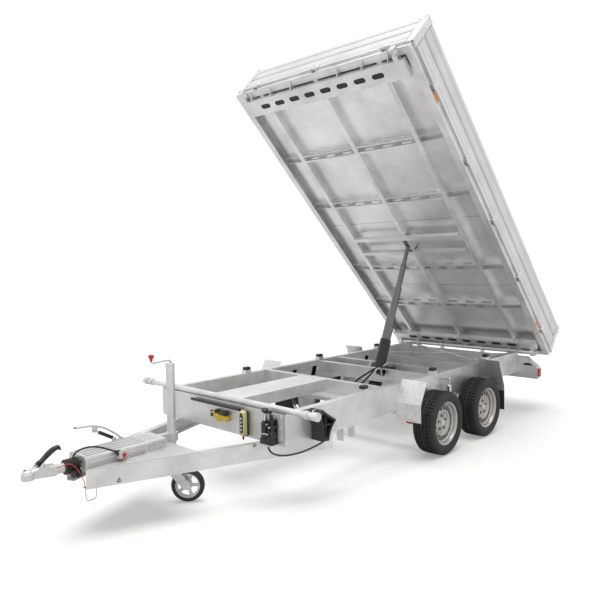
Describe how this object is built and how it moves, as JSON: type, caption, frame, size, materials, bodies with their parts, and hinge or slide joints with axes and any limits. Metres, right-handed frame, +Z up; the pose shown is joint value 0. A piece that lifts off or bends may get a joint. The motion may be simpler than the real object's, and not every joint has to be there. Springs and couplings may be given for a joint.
{
  "type": "three-way tipper trailer",
  "caption": "Tandem-axle tipper trailer with its bed raised by a telescopic cylinder, a V drawbar with ball coupling, jockey wheel and folding walls.",
  "frame": {"origin": "centre of the coupling ball's socket", "axes": "+X forwards in the direction of towing, +Y to the left, +Z up"},
  "size_m": [5.3642, 1.93, 3.4216],
  "materials": {
    "galvanised_steel": "hot-dip galvanised, light spangle",
    "aluminium_wall": "anodised plank",
    "black_rubber": "matt",
    "black_plastic": "matt",
    "black_paint": "satin black",
    "rim_silver": "silver paint",
    "tyre_rubber": "matt",
    "red_lens": "gloss",
    "amber_lens": "gloss",
    "yellow_plastic": "satin",
    "ram_grey": "satin grey",
    "red_sheath": "satin red"
  },
  "bodies": {
    "chassis": {"side_rails": "galvanised_steel", "front_crossbeam": "galvanised_steel", "chassis_crossmembers": "galvanised_steel", "rear_crossbeam": "galvanised_steel", "tipping_tubes": "galvanised_steel", "rail_brackets": "galvanised_steel", "bed_rest_pads": "black_rubber", "drawbar_beams": "galvanised_steel", "overrun_housing": "galvanised_steel", "drawbar_bellows": "black_rubber", "coupling_head": "galvanised_steel", "coupling_handle": "black_plastic", "handbrake_lever": "galvanised_steel", "handbrake_strut": "black_paint", "jockey_tube": "galvanised_steel", "jockey_crank": "galvanised_steel", "axles": "galvanised_steel", "mudguards": "galvanised_steel", "mud_flaps": "black_rubber", "tail_lamps": "red_lens", "hand_pump": "black_paint", "pump_bar": "black_paint", "control_units": "yellow_plastic", "wheel_chock": "black_rubber", "cylinder_gimbal": "galvanised_steel", "trailer_cable": "black_rubber", "trailer_plug": "black_plastic", "breakaway_cable": "red_sheath", "hydraulic_hose": "black_rubber"},
    "bed": {"bed_frame": "galvanised_steel", "bed_floor": "galvanised_steel", "lift_crossbeams": "galvanised_steel", "bed_stringers": "galvanised_steel", "bed_crossmembers": "galvanised_steel", "receiver_beams": "galvanised_steel", "corner_posts": "galvanised_steel", "wall_hinges": "galvanised_steel", "tailgate": "aluminium_wall", "bed_latches": "galvanised_steel", "side_markers": "amber_lens"},
    "left_wall": {"dropside_left": "aluminium_wall"},
    "right_wall": {"dropside_right": "aluminium_wall"},
    "front_wall": {"front_wall": "aluminium_wall"},
    "barrel": {"cylinder_barrel": "black_paint"},
    "stage_1": {"cylinder_stage_1": "black_paint"},
    "stage_2": {"cylinder_stage_2": "ram_grey"},
    "stage_3": {"cylinder_stage_3": "ram_grey"},
    "stage_4": {"cylinder_stage_4": "ram_grey"},
    "stage_5": {"cylinder_stage_5": "ram_grey"},
    "jockey_leg": {"jockey_leg": "galvanised_steel"},
    "jockey_fork": {"jockey_fork": "galvanised_steel"},
    "jockey_wheel": {"jockey_wheel": "black_rubber"},
    "wheel_front_left": {"tyre_front_left": "tyre_rubber", "rim_front_left": "rim_silver"},
    "wheel_front_right": {"tyre_front_right": "tyre_rubber", "rim_front_right": "rim_silver"},
    "wheel_rear_left": {"tyre_rear_left": "tyre_rubber", "rim_rear_left": "rim_silver"},
    "wheel_rear_right": {"tyre_rear_right": "tyre_rubber", "rim_rear_right": "rim_silver"}
  },
  "joints": [
    {"name": "bed_tip", "type": "hinge", "parent": "chassis", "child": "bed", "pos_m": [-4.92, 0, 0.194], "axis": [0, -1, 0], "range_deg": [-44, 0]},
    {"name": "dropside_left_hinge", "type": "hinge", "parent": "bed", "child": "left_wall", "pos_m": [-3.7557, 0.955, 1.46293], "axis": [-0.7193, 0, -0.6947], "range_deg": [0, 180]},
    {"name": "dropside_right_hinge", "type": "hinge", "parent": "bed", "child": "right_wall", "pos_m": [-3.7557, -0.955, 1.46293], "axis": [0.7193, 0, 0.6947], "range_deg": [0, 180]},
    {"name": "front_wall_hinge", "type": "hinge", "parent": "bed", "child": "front_wall", "pos_m": [-2.42636, 0, 2.74666], "axis": [0, 1, 0], "range_deg": [0, 90]},
    {"name": "barrel_swing", "type": "hinge", "parent": "chassis", "child": "barrel", "pos_m": [-3.315, 0, 0.159], "axis": [0, -1, 0], "range_deg": [-19.5, 0]},
    {"name": "stage_1_slide", "type": "slide", "parent": "barrel", "child": "stage_1", "axis": [-0.4004, 0, 0.9163], "range_m": [-0.2355, 0]},
    {"name": "stage_2_slide", "type": "slide", "parent": "stage_1", "child": "stage_2", "axis": [-0.4004, 0, 0.9163], "range_m": [-0.2305, 0]},
    {"name": "stage_3_slide", "type": "slide", "parent": "stage_2", "child": "stage_3", "axis": [-0.4004, 0, 0.9163], "range_m": [-0.3005, 0]},
    {"name": "stage_4_slide", "type": "slide", "parent": "stage_3", "child": "stage_4", "axis": [-0.4004, 0, 0.9163], "range_m": [-0.2455, 0]},
    {"name": "stage_5_slide", "type": "slide", "parent": "stage_4", "child": "stage_5", "axis": [-0.4004, 0, 0.9163], "range_m": [-0.17449, 0]},
    {"name": "jockey_lift", "type": "slide", "parent": "chassis", "child": "jockey_leg", "axis": [0, 0, 1], "range_m": [0, 0.09]},
    {"name": "jockey_swivel", "type": "hinge", "parent": "jockey_leg", "child": "jockey_fork", "pos_m": [-0.96, 0, -0.19], "axis": [0, 0, 1], "continuous": true},
    {"name": "jockey_spin", "type": "hinge", "parent": "jockey_fork", "child": "jockey_wheel", "pos_m": [-1.03071, 0.07071, -0.317], "axis": [0.7071, 0.7071, 0], "continuous": true},
    {"name": "wheel_front_left_spin", "type": "hinge", "parent": "chassis", "child": "wheel_front_left", "pos_m": [-3.04, 0.797, -0.1675], "axis": [0, 1, 0], "continuous": true},
    {"name": "wheel_front_right_spin", "type": "hinge", "parent": "chassis", "child": "wheel_front_right", "pos_m": [-3.04, -0.797, -0.1675], "axis": [0, 1, 0], "continuous": true},
    {"name": "wheel_rear_left_spin", "type": "hinge", "parent": "chassis", "child": "wheel_rear_left", "pos_m": [-3.76, 0.797, -0.1675], "axis": [0, 1, 0], "continuous": true},
    {"name": "wheel_rear_right_spin", "type": "hinge", "parent": "chassis", "child": "wheel_rear_right", "pos_m": [-3.76, -0.797, -0.1675], "axis": [0, 1, 0], "continuous": true}
  ],
  "couplings": [
    {"joint": "barrel_swing", "follows": "bed_tip", "ratio": 0.44},
    {"joint": "stage_1_slide", "follows": "bed_tip", "m_per_rad": 0.30601},
    {"joint": "stage_2_slide", "follows": "bed_tip", "m_per_rad": 0.2995},
    {"joint": "stage_3_slide", "follows": "bed_tip", "m_per_rad": 0.39065},
    {"joint": "stage_4_slide", "follows": "bed_tip", "m_per_rad": 0.31903},
    {"joint": "stage_5_slide", "follows": "bed_tip", "m_per_rad": 0.22657}
  ]
}
